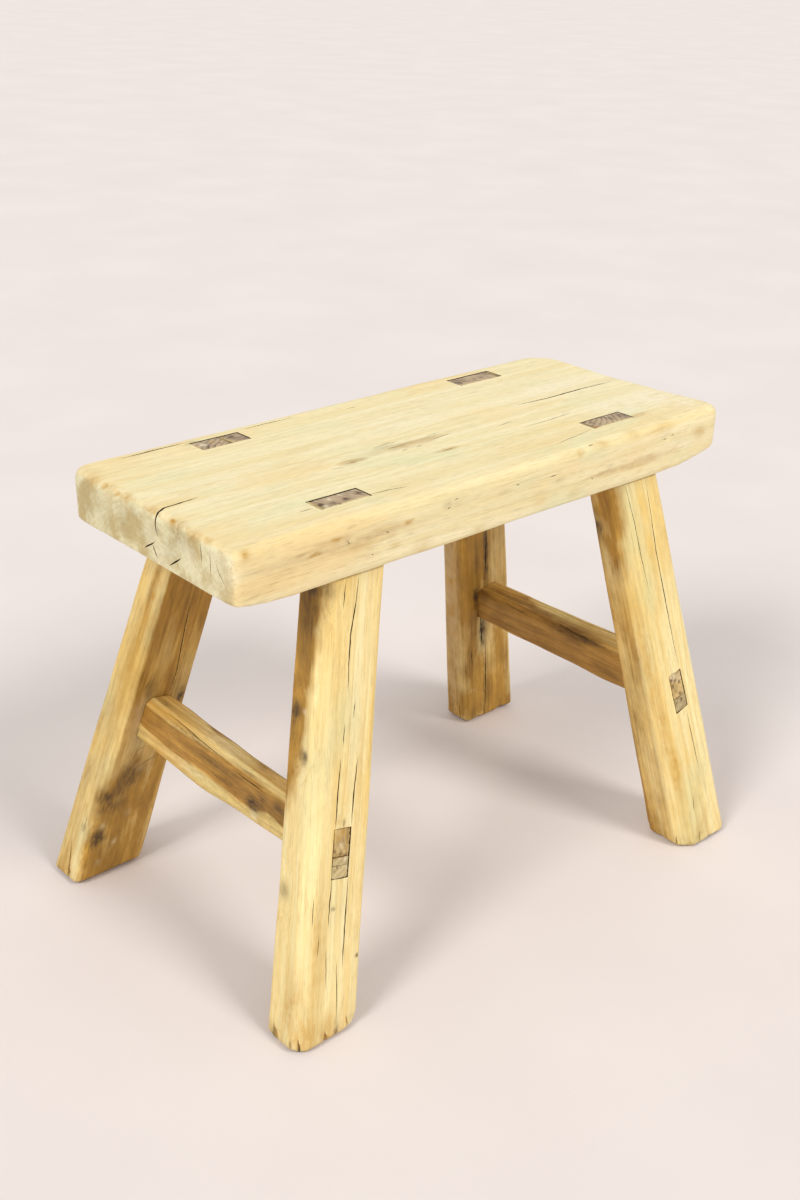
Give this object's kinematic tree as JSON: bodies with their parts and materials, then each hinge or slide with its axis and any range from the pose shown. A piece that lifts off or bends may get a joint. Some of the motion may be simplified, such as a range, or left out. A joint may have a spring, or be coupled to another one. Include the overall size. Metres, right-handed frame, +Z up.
{
  "type": "stool",
  "caption": "Small rustic wooden stool: a thick plank seat on splayed legs with wedged through tenons, tied by end stretchers.",
  "frame": {"origin": "on the floor, under the middle of the box that the feet span", "axes": "+Z up, +X along the seat, the front faces -Y"},
  "size_m": [0.4155, 0.2729, 0.311],
  "materials": {
    "seat_elm": "bare, scrubbed and worn",
    "leg_elm": "bare, scrubbed and worn",
    "stretcher_elm": "bare, scrubbed and worn",
    "wedge_wood": "bare, scrubbed and worn"
  },
  "bodies": {
    "root": {"seat": "seat_elm", "leg_front_left": "leg_elm", "leg_front_right": "leg_elm", "leg_back_left": "leg_elm", "leg_back_right": "leg_elm", "stretcher_left": "stretcher_elm", "stretcher_right": "stretcher_elm", "seat_wedge_front_left": "wedge_wood", "seat_wedge_front_right": "wedge_wood", "seat_wedge_back_left": "wedge_wood", "seat_wedge_back_right": "wedge_wood", "stretcher_wedge_front_left_lower": "wedge_wood", "stretcher_wedge_front_left_upper": "wedge_wood", "stretcher_wedge_front_right": "wedge_wood", "stretcher_wedge_back_left": "wedge_wood", "stretcher_wedge_back_right": "wedge_wood"}
  },
  "joints": []
}
